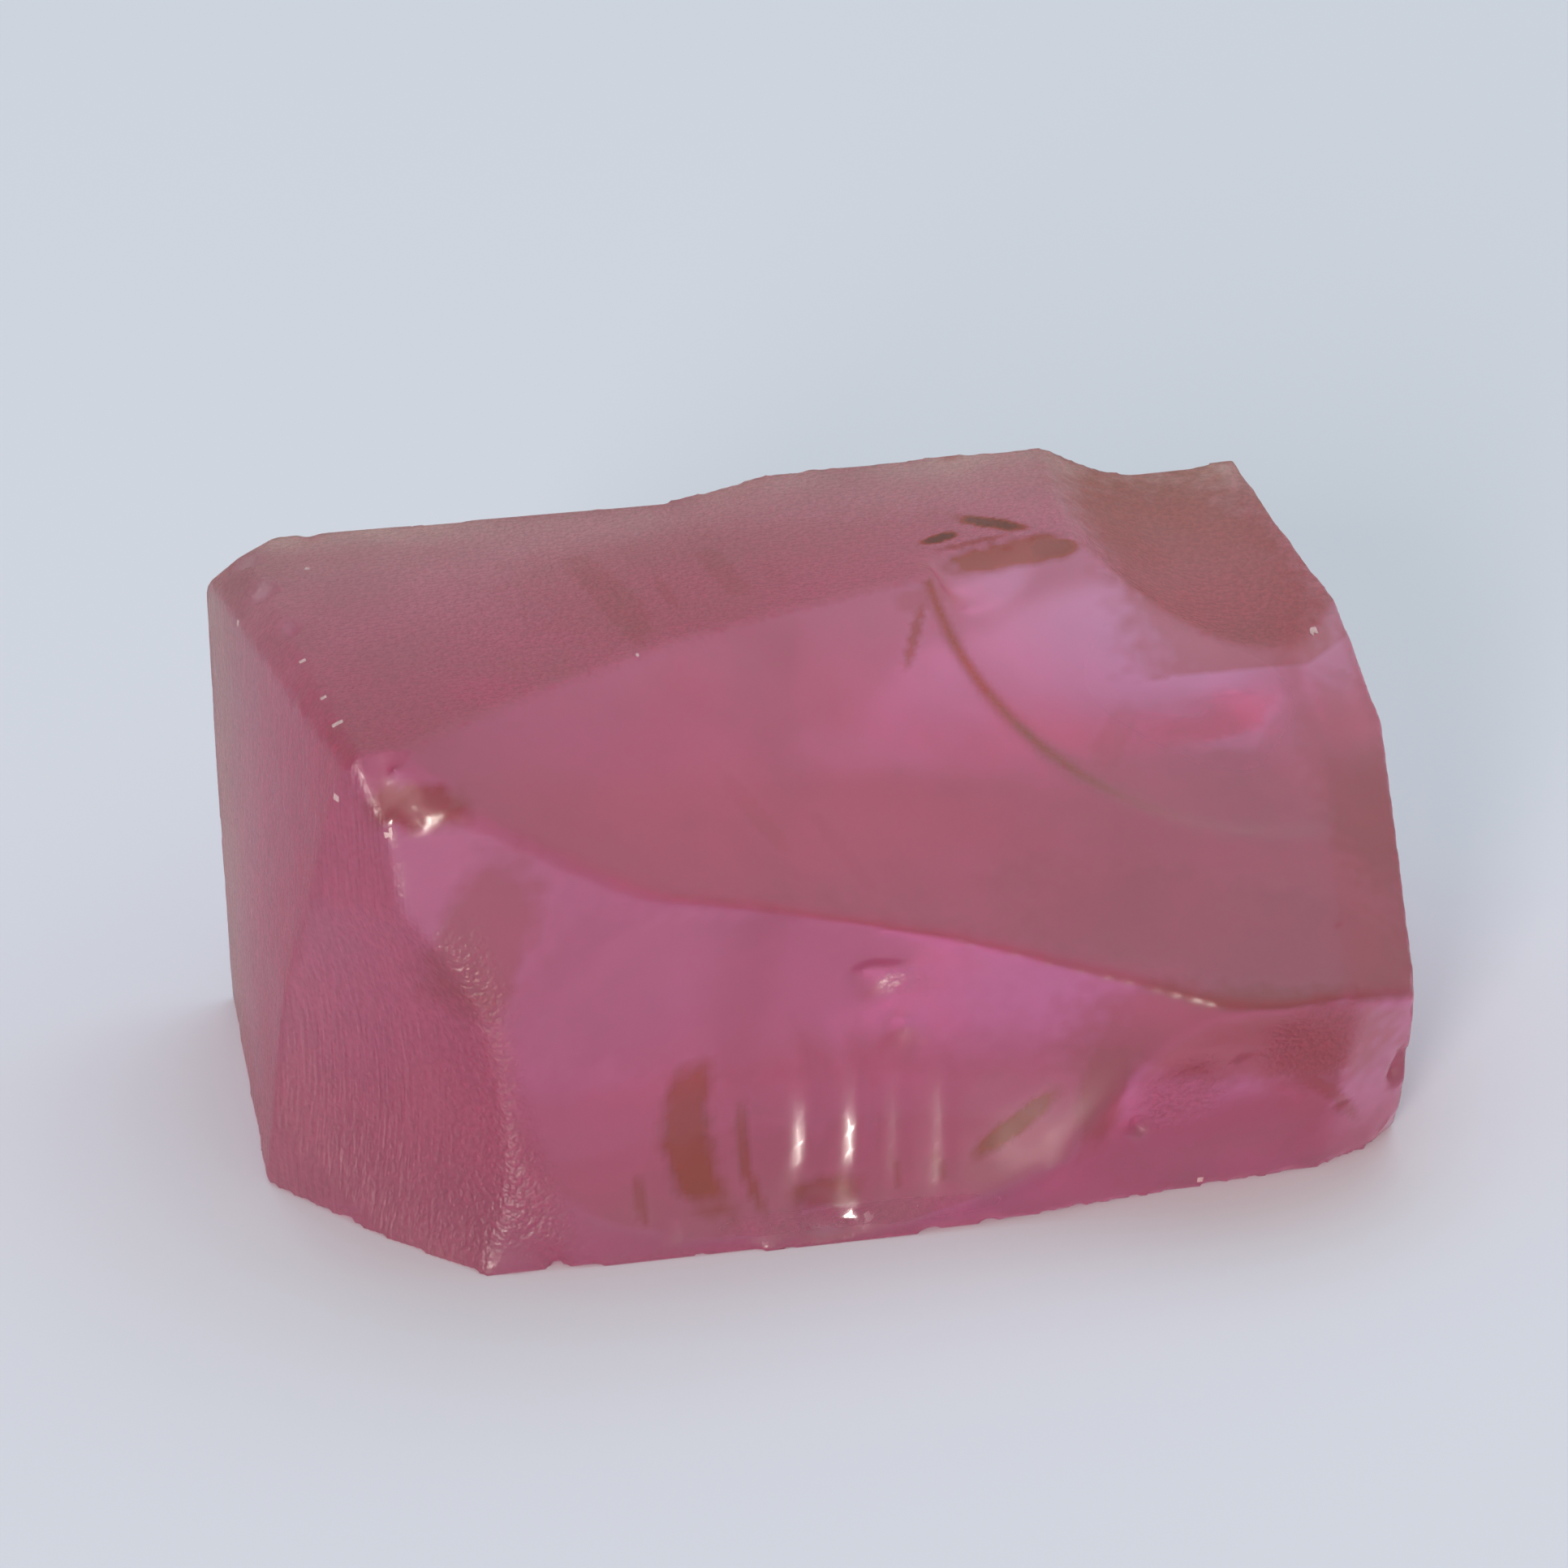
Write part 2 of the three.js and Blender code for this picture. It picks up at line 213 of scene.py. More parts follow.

# Strokes of brown in the skin, partly stains and partly painted shade, which stands for the darker room that
# the
# stone shows by reflection and refraction: the middle, the direction of the length, half the length, half the
# width, the bend to the side for each millimetre squared along it, and the depth, which darkens the brown
# above 1. The first list is laid on as seen from the front, and the second as seen from above.
FRONT_STAINS_AND_PAINTED_SHADE = (
    # The first four: the brown arcs on the lower front and the patch under its glints, painted shade for the
    # darker room reflected and refracted in the rings.
    ((-6.2, -9.2, 3.6), (0, 0, 1), 3.0, 0.95, -0.1, 1.0),
    ((-4.45, -9.35, 2.7), (-0.05, 0, 1), 2.0, 0.25, -0.09, 0.9),
    ((-7.9, -9.6, 1.9), (0, 0, 1), 0.8, 0.2, -0.09, 0.7),
    ((-1.9, -9.8, 1.35), (1, 0, 0), 1.3, 0.6, 0, 0.9),
    ((0.3, -9.9, 1.8), (0, 0, 1), 0.5, 0.13, 0, 0.6),
    ((1.6, -10.0, 2.0), (0, 0, 1), 0.5, 0.13, 0, 0.6),
    ((4.1, -10.0, 3.2), (0.8, 0, 0.6), 1.9, 0.35, 0, 1.25),
    ((6.7, -10.4, 4.3), (0.2, 0, 1), 2.4, 0.85, 0, 0.8),
    ((9.3, -10.8, 6.2), (1, 0, -0.3), 2.9, 0.55, 0.05, 0.8),
    ((13.9, -9.9, 3.2), (1, 0, -0.75), 2.3, 0.26, 0, 0.8),
    ((11.0, -10.0, 8.9), (1, -0.1, -0.25), 8.0, 2.0, 0, 0.22),
    ((11.0, -10.3, 5.6), (1, -0.1, -0.1), 6.5, 1.8, 0, 0.8),
    ((17.5, -5.0, 11.5), (0.3, 0.5, 1), 4.0, 2.0, 0, 0.4),
    ((-12.4, -8.3, 11.0), (0.35, 0, 1), 3.2, 1.6, 0, 0.7),
    ((3.3, 0.2, 15.4), (-0.4, -0.75, -0.5), 1.6, 0.2, 0, 0.9),
    ((3.9, 1.3, 16.2), (0.9, 0.3, 0), 1.2, 0.4, 0, 0.5),
    ((9.4, -1.8, 12.2), (0.7, 0, 0.6), 1.1, 0.5, 0, 0.3),
    ((7.5, 4.1, 16.3), (0.96, 0.26, 0), 2.7, 0.55, 0, 1.15),
    ((8.9, 4.3, 16.3), (0.96, 0.26, 0), 1.1, 0.4, 0, 1.4),
    ((-4.5, -9.2, 8.2), (1, 0, -0.12), 9.5, 3.0, 0, 0.28),
    # The dark patch in the broken corner's recess, painted shade.
    ((-14.0, -9.1, 15.3), (1, 0, -0.1), 1.7, 0.8, 0, 0.9),
    ((-3.2, -7.0, 13.0), (0.4, -0.2, -0.8), 1.6, 0.4, 0, 0.16),
    ((-0.6, -8.0, 11.9), (0.3, -0.2, -0.8), 1.5, 0.35, 0, 0.12),
)
TOP_STAINS_AND_PAINTED_SHADE = (
    # The first four: the dark fan of arcs on the top, painted reflections of the darker room.
    ((-5.9, 2.6, 16.6), (0.12, -1, 0), 4.4, 0.9, -0.02, 0.55),
    ((-4.2, 2.6, 16.6), (0.05, -1, 0), 2.0, 0.22, 0, 0.5),
    ((-2.1, 3.9, 16.6), (0.1, -1, 0), 2.7, 0.6, 0, 0.5),
    ((-0.5, 3.4, 16.6), (0.02, -1, 0), 1.7, 0.3, 0, 0.4),
    ((5.4, 5.2, 16.6), (0.85, 0.5, 0), 0.9, 0.35, 0, 1.9),
    ((7.4, 6.1, 16.6), (0.8, -0.6, 0), 1.4, 0.5, 0, 1.8),
    ((6.3, 4.6, 16.6), (0.95, 0.3, 0), 1.6, 0.25, 0, 0.9),
    ((14.5, 5.5, 13.2), (0, 1, 0), 9.0, 4.5, 0, 0.8),
    ((-1.0, 3.5, 16.6), (1, 0.1, 0), 10.0, 5.0, 0, 0.27),
)
# The brown band along the right bowl's rim: its radius, its half width, the heights that it fades between,
# and how near to the bowl's surface it stays.
RIM_BROWN_BAND = (10.85, 0.45, 10.3, 12.0, 4.0)

# Patches where a fracture is as frosted as a ground face: the same numbers as for a brown stroke.
VEILS = (
    ((-12.6, -9.2, 5.5), (0.22, 0, -1), 6.3, 1.2, 0.02, 0.95),
    ((9.3, -9.9, 3.6), (1, 0, 0.3), 1.6, 1.2, 0, 0.8),
    ((13.3, -10.5, 5.3), (1, 0, 0), 1.7, 1.3, 0, 0.8),
    ((0.9, -9.3, 8.0), (1, 0, -0.1), 1.0, 0.35, 0, 0.5),
)

# Clean patches of the skin; the rest is faintly weathered. The same numbers again.
FRESH = (
    ((12.2, -0.6, 13.2), (0.8, -0.5, -0.4), 6.5, 4.6, 0, 1.0),
    ((-6.5, -4.6, 14.9), (1, 0.35, -0.1), 6.5, 1.5, 0, 0.7),
    ((-1.0, -10.2, 0.7), (1, 0, 0), 8.5, 0.7, 0, 1.0),
    ((12.0, -10.0, 0.7), (1, 0, 0), 5.0, 0.6, 0, 0.5),
)
CLEAN_FADING = 0.9
SEEN_FROM_FRONT = (0.2, -0.9, 0.4)
SEEN_FROM_TOP = (0, 0, 1)

# A stroke's outline, by its own size: how far out it is tested for, and where its fading ends and how wide
# that is. Then how ragged the outline is, and how many turns that takes in a millimetre.
STROKE_REACH = 1.5
STROKE_END = 1.1
STROKE_FADING = 0.5
STROKE_RAGGED = 0.18
STROKE_TURNS = 2.2

# The box that nicks are scattered in, and two numbers that give each of its cells a draw of its own.
LATTICE_LOW = (-20, -15, -0.5)
LATTICE_SIZE = (41, 30, 18)
CELL_STEP = 8191
SEED_STEP = 31

# How near to an edge a nick's throw has to land, in nick spacings. Its least size and what chance adds to
# it, in nick sizes, and how seldom that is much. How far its middle stands off the edge, in its own size.
NICK_CATCH = 0.4
NICK_LEAST = 0.4
NICK_SPREAD = 1.4
NICK_RARITY = 2.5
NICK_STAND = (0.1, 0.35)

# The lump that cuts a nick: its length and its thickness by its size across, how uneven it is, and how many
# bumps it has.
LUMP_LENGTH = (1.0, 1.8)
LUMP_THICKNESS = (0.4, 0.8)
LUMP_UNEVEN = 0.35
LUMP_BUMPS = 3
LUMP_FRACTAL = (0.6, 2, 4)
LUMPS_APART = 100  # how far apart in the noise the bumps of two lumps may be taken
LUMP_FINENESS = (2, 4)  # of the plain lump and of the finer one
COARSE_CHIP = 1.2  # a nick larger than this is cut with the finer lump
NICK_CLEARANCE = 1.2  # nicks that are struck together keep this many of their sizes apart

# Larger chips, each with its middle and its size across: the broken corner between the top, the left end
# and the front, four on the left rim, two at the foot, two by the right end, and eight low on the right of
# the front.
LARGE_CHIPS = (
    ((-14.6, -9.3, 16.0), 1.7), ((-13.4, -9.3, 15.7), 1.5), ((-14.1, -9.5, 15.0), 1.2),
    ((-15.4, -8.9, 15.6), 1.25), ((-12.4, -9.0, 16.1), 1.25), ((-15.2, -8.4, 16.6), 1.25),
    ((-13.7, -8.9, 16.6), 1.3), ((-12.7, -9.5, 15.1), 0.9), ((-16.2, 2.4, 16.9), 1.3),
    ((-16.9, 5.6, 16.8), 1.5), ((-17.0, -2.0, 16.1), 1.2), ((-16.6, 8.6, 16.9), 1.2),
    ((-10.6, -10.8, 0.1), 1.6), ((-9.2, -10.9, 0.1), 1.2), ((18.9, -8.0, 10.2), 1.2),
    ((18.8, -2.5, 12.9), 1.1), ((6.2, -10.9, 6.2), 0.9), ((9.6, -10.4, 4.3), 0.8),
    ((10.9, -10.6, 4.6), 0.9), ((12.3, -10.6, 4.4), 0.8), ((8.2, -10.2, 2.6), 1.0),
    ((16.9, -9.3, 3.2), 1.3), ((14.6, -10.0, 2.4), 0.8), ((11.6, -10.1, 2.0), 0.8),
)


# ----------------------------------------------------------------------------------------------------
# What a user can change
# ----------------------------------------------------------------------------------------------------

class SapphireShape(bpy.types.PropertyGroup):
    nick_spacing: FloatProperty(
        name="Nick Spacing", description="Mean distance between nicks on the worn edges, in millimetres",
        default=0.6, min=0.2)
    nick_size: FloatProperty(
        name="Nick Size", description="Size of an ordinary nick across, in millimetres",
        default=0.4, min=0.05)
    nick_seed: IntProperty(
        name="Nick Seed", description="Scatters the nicks another way", default=11)


class SapphireLook(bpy.types.PropertyGroup):
    body_colour: FloatVectorProperty(
        name="Body Colour", description="Light that passes the depth given below", subtype="COLOR",
        default=linear("fbb4de"), min=0, max=1)
    body_depth: FloatProperty(
        name="Body Depth", description="Depth of stone that gives the body colour", subtype="DISTANCE",
        unit="LENGTH", default=10 * MM)
    skin_colour: FloatVectorProperty(
        name="Skin Colour", description="Tint of the frosted skin on the ground faces", subtype="COLOR",
        default=linear("fff6e2"), min=0, max=1)
    # The brown of the stains and of the painted shade.
    stain_and_shade_colour: FloatVectorProperty(
        name="Stain Colour", description="Tint of the brown stains", subtype="COLOR",
        default=linear("bc5926"), min=0, max=1)
    refraction: FloatProperty(
        name="Refraction", description="Index of refraction of corundum", default=1.77, min=1)
    polish: FloatProperty(
        name="Fracture Roughness", description="Roughness of an ordinary fracture",
        default=0.28, subtype="FACTOR")
    frost: FloatProperty(
        name="Ground Roughness", description="Roughness of a ground face", default=0.6, subtype="FACTOR")


class SapphireStage(bpy.types.PropertyGroup):
    floor_colour: FloatVectorProperty(
        name="Floor Colour", description="Matt studio paper", subtype="COLOR", default=linear("e3dded"),
        min=0, max=1)
    key_power: FloatProperty(
        name="Key Power", description="Makes both lamps stronger or weaker", subtype="POWER", unit="POWER",
        default=1.0)


# ----------------------------------------------------------------------------------------------------
# Mesh helpers
# ----------------------------------------------------------------------------------------------------

def deselect_all():
    if bpy.context.object and bpy.context.object.mode != "OBJECT":
        bpy.ops.object.mode_set(mode="OBJECT")
    bpy.ops.object.select_all(action="DESELECT")


def make_active(piece):
    deselect_all()
    piece.select_set(True)
    bpy.context.view_layer.objects.active = piece


def stance(at, facing, along=(1, 0, 0)):
    """The matrix that stands a tool on `at`, its z axis along `facing` and its x axis near `along`."""
    z_axis = Vector(facing).normalized()
    y_axis = z_axis.cross(Vector(along)).normalized()
    x_axis = y_axis.cross(z_axis)
    turn = Matrix((x_axis, y_axis, z_axis)).transposed().to_4x4()
    return Matrix.Translation(at) @ turn


def mixed(low, high, share):
    return low + (high - low) * share


def mark_faces(piece, made):
    """Give a tool the slots, and its faces the indices, that say how the faces it leaves were made."""
    for name in ("fractured", "ground", "nicked", "crushed"):
        slot = bpy.data.materials.get(name) or bpy.data.materials.new(name)
        piece.data.materials.append(slot)
    piece.data.polygons.foreach_set("material_index", made)


# ----------------------------------------------------------------------------------------------------
# The stone
# ----------------------------------------------------------------------------------------------------

def wave_height(made, x, y):
    height, length = WAVES[made]
    return height * noise.fractal(Vector((x, y, WAVES_APART * made)) / length, *WAVE_FRACTAL)


def build_block():
    """The block before anything is struck off it: a cube whose corners are moved to the named ones."""
    deselect_all()
    bpy.ops.mesh.primitive_cube_add(size=1)
    block = bpy.context.object
    bpy.ops.object.mode_set(mode="EDIT")
    bpy.ops.mesh.subdivide(number_cuts=SIDE_CUTS)
    bpy.ops.object.mode_set(mode="OBJECT")
    fronts = [face.normal.y < FRONT_NORMAL for face in block.data.polygons]
    mark_faces(block, [FRACTURED if front else GROUND for front in fronts])
    for vertex in block.data.vertices:
        right, back, up = (c + 0.5 for c in vertex.co)
        place = []
        for axis in (0, 1):
            level = []
            for corners in (FOOT, CROWN):
                front_edge = mixed(corners["front"][0][axis], corners["front"][1][axis], right)
                back_edge = mixed(corners["back"][0][axis], corners["back"][1][axis], right)
                level.append(mixed(front_edge, back_edge, back))
            place.append(mixed(level[0], level[1], up))
        wave = noise.noise_vector(Vector((*place, up * HEIGHT)) / WAVES[GROUND][1]) * WAVES[GROUND][0]
        wave.z *= up > 0.5
        vertex.co = Vector((place[0], place[1], up * HEIGHT)) + wave
    return block


def smooth_step(share):
    share = min(max(share, 0.0), 1.0)
    return share * share * (3 - 2 * share)


def bowl_height(bowl, x, y):
    """How high a bowl's surface stands over its deepest point, at a place along and across it."""
    along, near, far = bowl["radii"]
    height = x * x / (2 * along) + y * y / (2 * (far if y > 0 else near))
    if "rim" in bowl:
        rim = bowl["rim"]
        outside = math.hypot(x - rim["centre"][0], y - rim["centre"][1]) - rim["radius"]
        height += rim["height"] * smooth_step(outside / rim["width"])
    if "rings" in bowl:
        distance = math.hypot(x - bowl["blow"][0], y - bowl["blow"][1])
        start, end = bowl["rings_end"]
        fade = 1 - smooth_step((y - start) / (end - start))
        for radius, width, ring_height in bowl["rings"]:
            height += fade * ring_height * math.exp(-((distance - radius) / width) ** 2)
    return height + wave_height(bowl["made"], x, y)


def build_waste(at, facing, along, size, cell, made, height_at):
    """A piece of waste: a fine grid, pressed to the form of the face it leaves and drawn out of the stone."""
    deselect_all()
    bpy.ops.mesh.primitive_grid_add(
        x_subdivisions=round(size[0] / cell[0]), y_subdivisions=round(size[1] / cell[1]), size=1)
    waste = bpy.context.object
    for vertex in waste.data.vertices:
        x, y = vertex.co.x * size[0], vertex.co.y * size[1]
        vertex.co = (x, y, height_at(x, y))
    bpy.ops.object.mode_set(mode="EDIT")
    bpy.ops.mesh.select_all(action="SELECT")
    bpy.ops.mesh.extrude_region_move(TRANSFORM_OT_translate={"value": (0, 0, WASTE)})
    bpy.ops.mesh.select_all(action="SELECT")
    bpy.ops.mesh.normals_make_consistent(inside=False)
    bpy.ops.object.mode_set(mode="OBJECT")
    waste.data.transform(stance(at, facing, along))
    mark_faces(waste, [made] * len(waste.data.polygons))
    return waste


def build_facet_waste(at, facing, made):
    along = Vector((-facing[1], facing[0], 0))
    return build_waste(
        at, facing, along, FACET_SIZE, (FACET_CELL, FACET_CELL), made, lambda x, y: wave_height(made, x, y))


def build_bowl_waste(bowl):
    cell = (bowl.get("cell", BOWL_CELL), BOWL_CELL)
    return build_waste(
        bowl["at"], bowl["facing"], bowl["along"], bowl["size"], cell, bowl["made"],
        lambda x, y: bowl_height(bowl, x, y))


def build_flake_waste():
    """The waste of the flake off the back: a slab that ends in a step."""
    face, step = BACK_FLAKE
    waste = build_facet_waste(*face, GROUND)
    strike_off(waste, build_facet_waste(step[0], [-c for c in step[1]], GROUND))
    return waste


def strike_off(stone, waste):
    """Take a piece of waste off the stone. The new faces keep the waste's material index."""
    make_active(stone)
    cut = stone.modifiers.new("strike", "BOOLEAN")
    cut.operation = "DIFFERENCE"
    cut.solver = "MANIFOLD"
    cut.object = waste
    bpy.ops.object.modifier_apply(modifier=cut.name)
    mesh = waste.data
    bpy.data.objects.remove(waste)
    bpy.data.meshes.remove(mesh)


def inside(place, low, high):
    return all(a < c < b for a, c, b in zip(low, place, high))


def sharp_edges(stone, least_angle):
    """The stone's sharp edges: the two ends, the way out of the stone, and whether it is a soft ridge, as an
    edge between two fractures is."""
    solid = bmesh.new()
    solid.from_mesh(stone.data)
    edges = []
    for edge in solid.edges:
        if edge.calc_face_angle(0) > least_angle:
            out = (edge.link_faces[0].normal + edge.link_faces[1].normal).normalized()
            start, end = (vertex.co.copy() for vertex in edge.verts)
            soft = all(face.material_index == FRACTURED for face in edge.link_faces)
            edges.append((start, end, out, soft or inside(start, *SOFT_CORNER)))
    solid.free()
    return edges


def tree_of(points):
    tree = KDTree(len(points))
    for index, point in enumerate(points):
        tree.insert(point, index)
    tree.balance()
    return tree


def wear_at(place, soft):
    """How worn the edges are at a place: the three numbers of its box."""
    for low, high, wear in FOOT_WEAR + (() if soft else RIM_WEAR):
        if inside(place, low, high):
            return wear
    return RIDGE_WEAR if soft else OTHER_WEAR


def scatter_nicks(stone, shape):
    """Where the nicks go: for each one its middle, its size across, a number for its own shape and its kind.
    Each cell of a fixed lattice throws one at the nearest edge, so they fall the same way every time."""
    edges = sharp_edges(stone, math.radians(NICKED_ANGLE))
    tree = tree_of([(start + end) / 2 for start, end, _, _ in edges])
    nicks = []
    counts = [math.ceil(side / shape.nick_spacing) for side in LATTICE_SIZE]
    for cell in itertools.product(*map(range, counts)):
        number = (cell[0] * CELL_STEP + cell[1]) * CELL_STEP + cell[2]
        draw = random.Random(number * SEED_STEP + shape.nick_seed)
        aim = Vector([(c + draw.random()) * shape.nick_spacing + low for c, low in zip(cell, LATTICE_LOW)])
        _, index, _ = tree.find(aim)
        start, end, out, soft = edges[index]
        share = max(0, min(1, (aim - start).dot(end - start) / max((end - start).length_squared, 1e-9)))
        at = start.lerp(end, share)
        often, large, powdered = wear_at(at, soft)
        if (at - aim).length < NICK_CATCH * shape.nick_spacing and draw.random() < often:
            across = shape.nick_size * large * (NICK_LEAST + NICK_SPREAD * draw.random() ** NICK_RARITY)
            kind = CRUSHED if draw.random() < powdered else NICKED
            nicks.append((at + out * across * draw.uniform(*NICK_STAND), across, draw.random(), kind))
    return nicks


def make_lumps():
    """The two round lumps that every nick is a copy of, a plain one and a finer one."""
    lumps = []
    for subdivisions in LUMP_FINENESS:
        deselect_all()
        bpy.ops.mesh.primitive_ico_sphere_add(subdivisions=subdivisions, radius=0.5)
        lumps.append(bpy.context.object)
    return lumps


def build_nick_waste(nicks, lumps):
    """One mesh of many nicks that don't touch: flattened, uneven and turned copies of a lump."""
    points, faces, made = [], [], []
    for at, across, seed, kind in nicks:
        draw = random.Random(seed)
        lump = lumps[across > COARSE_CHIP].data
        length = across * draw.uniform(*LUMP_LENGTH)
        form = Matrix.Diagonal((length, across, across * draw.uniform(*LUMP_THICKNESS), 1))
        facing, along = (Vector([draw.uniform(-1, 1) for _ in range(3)]) for _ in range(2))
        place = stance(at, facing, along) @ form
        faces += [[index + len(points) for index in face.vertices] for face in lump.polygons]
        made += [kind] * len(lump.polygons)
        for vertex in lump.vertices:
            own_bumps = Vector((LUMPS_APART * seed, 0, 0))
            uneven = noise.fractal(vertex.co * LUMP_BUMPS + own_bumps, *LUMP_FRACTAL)
            points.append(place @ (vertex.co * (1 + LUMP_UNEVEN * uneven)))
    mesh = bpy.data.meshes.new("nicks")
    mesh.from_pydata(points, [], faces)
    waste = bpy.data.objects.new("nicks", mesh)
    bpy.context.collection.objects.link(waste)
    mark_faces(waste, made)
    return waste


def strike_nicks(stone, shape):
    """Take all the nicks off, in batches in which no two nicks touch."""
    waiting = [(Vector(at), across, across + at[0], NICKED) for at, across in LARGE_CHIPS]
    waiting += [(Vector(at), across, across + at[0], CRUSHED) for at, across in CRUSHED_SPECKS_AND_PAINTED_GLINTS]
    waiting += scatter_nicks(stone, shape)
    lumps = make_lumps()
    while waiting:
        batch, rest = [], []
        for nick in waiting:
            at, across = nick[:2]
            clear = all((at - other[0]).length > NICK_CLEARANCE * (across + other[1]) for other in batch)
            (batch if clear else rest).append(nick)
        strike_off(stone, build_nick_waste(batch, lumps))
        waiting = rest
    for lump in lumps:
        bpy.data.objects.remove(lump)


def apply_modifier(piece, name, kind, **settings):
    make_active(piece)
    modifier = piece.modifiers.new(name, kind)
    for key, value in settings.items():
        setattr(modifier, key, value)
    bpy.ops.object.modifier_apply(modifier=name)


def rub_down(stone, ridges, reach, repeats):
    """Round the stone near some edges, given as points on them. The foot stays flat."""
    tree = tree_of(ridges)
    make_active(stone)
    bpy.ops.object.mode_set(mode="EDIT")
    bpy.ops.mesh.select_mode(type="VERT")
    bpy.ops.mesh.select_all(action="DESELECT")
    bpy.ops.object.mode_set(mode="OBJECT")
    for vertex in stone.data.vertices:
        vertex.select = vertex.co.z > FOOT_LAYER and tree.find(vertex.co)[2] < reach
    bpy.ops.object.mode_set(mode="EDIT")
    bpy.ops.mesh.vertices_smooth(factor=RUB, repeat=repeats)
    bpy.ops.object.mode_set(mode="OBJECT")


def weather(stone):
    """Give the struck stone one even skin, laid closely on it, and round its edges with wear. Each point of
    the skin notes how the stone was made there."""
    struck = stone.copy()
    struck.data = stone.data.copy()
    bpy.context.collection.objects.link(struck)
    ridges = sharp_edges(struck, math.radians(RIDGE_ANGLE))
    apply_modifier(stone, "skin", "REMESH", mode="VOXEL", voxel_size=SKIN_CELL)
    apply_modifier(stone, "close", "SHRINKWRAP", target=struck)
    surface = BVHTree.FromObject(struck, bpy.context.evaluated_depsgraph_get())
    made = [struck.data.polygons[surface.find_nearest(vertex.co)[2]].material_index
            for vertex in stone.data.vertices]
    places = [vertex.co.copy() for vertex in stone.data.vertices]
    frosted = [max(kind == GROUND, share_of(VEILS, place, SEEN_FROM_FRONT))
               for kind, place in zip(made, places)]
    note(stone, "ground", spread(stone, frosted, MASK_BLUR))
    note(stone, "nicked", [float(kind in (NICKED, CRUSHED)) for kind in made])
    # Brown of the stains and of the painted shade.
    note(stone, "stain_and_shade", [stain_and_shade_at(place) for place in places])
    note(stone, "fresh", [share_of(FRESH, place, SEEN_FROM_FRONT, CLEAN_FADING, 0) for place in places])
    crushed = [kind == CRUSHED for kind in made]
    for wanted, rubbing in ((True, SOFT_RIDGE), (False, WORN_EDGE)):
        rub_down(stone, [(start + end) / 2 for start, end, _, soft in ridges if soft == wanted], *rubbing)
    mesh = struck.data
    bpy.data.objects.remove(struck)
    bpy.data.meshes.remove(mesh)
    for face in stone.data.polygons:
        face.material_index = sum(crushed[index] for index in face.vertices) > CRUSHED_POINTS


def note(stone, name, values):
    """Keep a value for each point of the stone, for its material to read."""
    layer = stone.data.attributes.new(name, "FLOAT", "POINT")
    layer.data.foreach_set("value", values)


def spread(stone, values, repeats):
    """Even out a value between neighbouring points."""
    pairs = [tuple(edge.vertices) for edge in stone.data.edges]
    for _ in range(repeats):
        totals, counts = list(values), [1] * len(values)
        for a, b in pairs:
            totals[a] += values[b]
            totals[b] += values[a]
            counts[a] += 1
            counts[b] += 1
        values = [total / count for total, count in zip(totals, counts)]
    return values


def share_of(strokes, place, seen_from, fading=STROKE_FADING, ragged=STROKE_RAGGED):
    """How deep the strokes are at a place: 0 outside them and their full depth in their middles."""
    deepest = 0.0
    for middle, along, half_length, half_width, bend, depth in strokes:
        offset = place - Vector(middle)
        if offset.length < STROKE_REACH * half_length:
            length_way = Vector(along).normalized()
            v = offset.dot(length_way)
            u = offset.dot(Vector(seen_from).cross(length_way).normalized()) - bend * v * v
            reach = (abs(u / half_width) ** 3 + abs(v / half_length) ** 3) ** (1 / 3)
            reach += ragged * noise.noise(place * STROKE_TURNS)
            deepest = max(deepest, depth * (1 - smooth_step((reach - STROKE_END + fading) / fading)))
    return deepest


def stain_and_shade_at(place):
    """How deep the brown of the stains and the painted shade is at a place."""
    bowl = BOWLS["right_front"]
    radius, half_width, low, high, deepest = RIM_BROWN_BAND
    x, y, depth = stance(bowl["at"], bowl["facing"], bowl["along"]).inverted() @ place
    off_rim = abs(math.hypot(x - bowl["rim"]["centre"][0], y - bowl["rim"]["centre"][1]) - radius)
    rim = (1 - smooth_step(off_rim / half_width)) * smooth_step((place.z - low) / (high - low))
    if abs(depth) > deepest or x > 0 or place.z > HEIGHT - TOP_LAYER:
        rim = 0.0
    on_top = [stroke for stroke in TOP_STAINS_AND_PAINTED_SHADE if place.z > stroke[0][2] - TOP_LAYER]
    above = share_of(on_top, place, SEEN_FROM_TOP)
    return max(rim, above, share_of(FRONT_STAINS_AND_PAINTED_SHADE, place, SEEN_FROM_FRONT))


class SAPPHIRE_OT_stone(bpy.types.Operator):
    """Strike the stone out of its block and give it its material"""

    bl_idname = "sapphire.stone"
    bl_label = "Rough Sapphire"

    def execute(self, context):
        shape = context.scene.sapphire_shape
        noise.seed_set(WAVE_SEED)
        stone = build_block()
        for facet in FACETS:
            strike_off(stone, build_facet_waste(*facet))
        for bowl in BOWLS.values():
            strike_off(stone, build_bowl_waste(bowl))
        strike_off(stone, build_flake_waste())
        strike_nicks(stone, shape)
        weather(stone)
        to_frame = Matrix.Diagonal((MM, MM, MM, 1)) @ Matrix.Translation((-CENTRE[0], -CENTRE[1], 0))
        stone.data.transform(to_frame)
        make_active(stone)
        bpy.ops.object.shade_smooth()
        stone.name = stone.data.name = "rough_stone"
        crushed = [face.material_index for face in stone.data.polygons]
        stone.data.materials.clear()
        stone.data.materials.append(sapphire_material(context.scene.sapphire_look))
        stone.data.materials.append(crushed_and_glint_material(context.scene.sapphire_look))
        stone.data.polygons.foreach_set("material_index", crushed)
        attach(stone, "root")
        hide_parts("rough_sapphire")
        return {"FINISHED"}


# ----------------------------------------------------------------------------------------------------
# Material
# ----------------------------------------------------------------------------------------------------

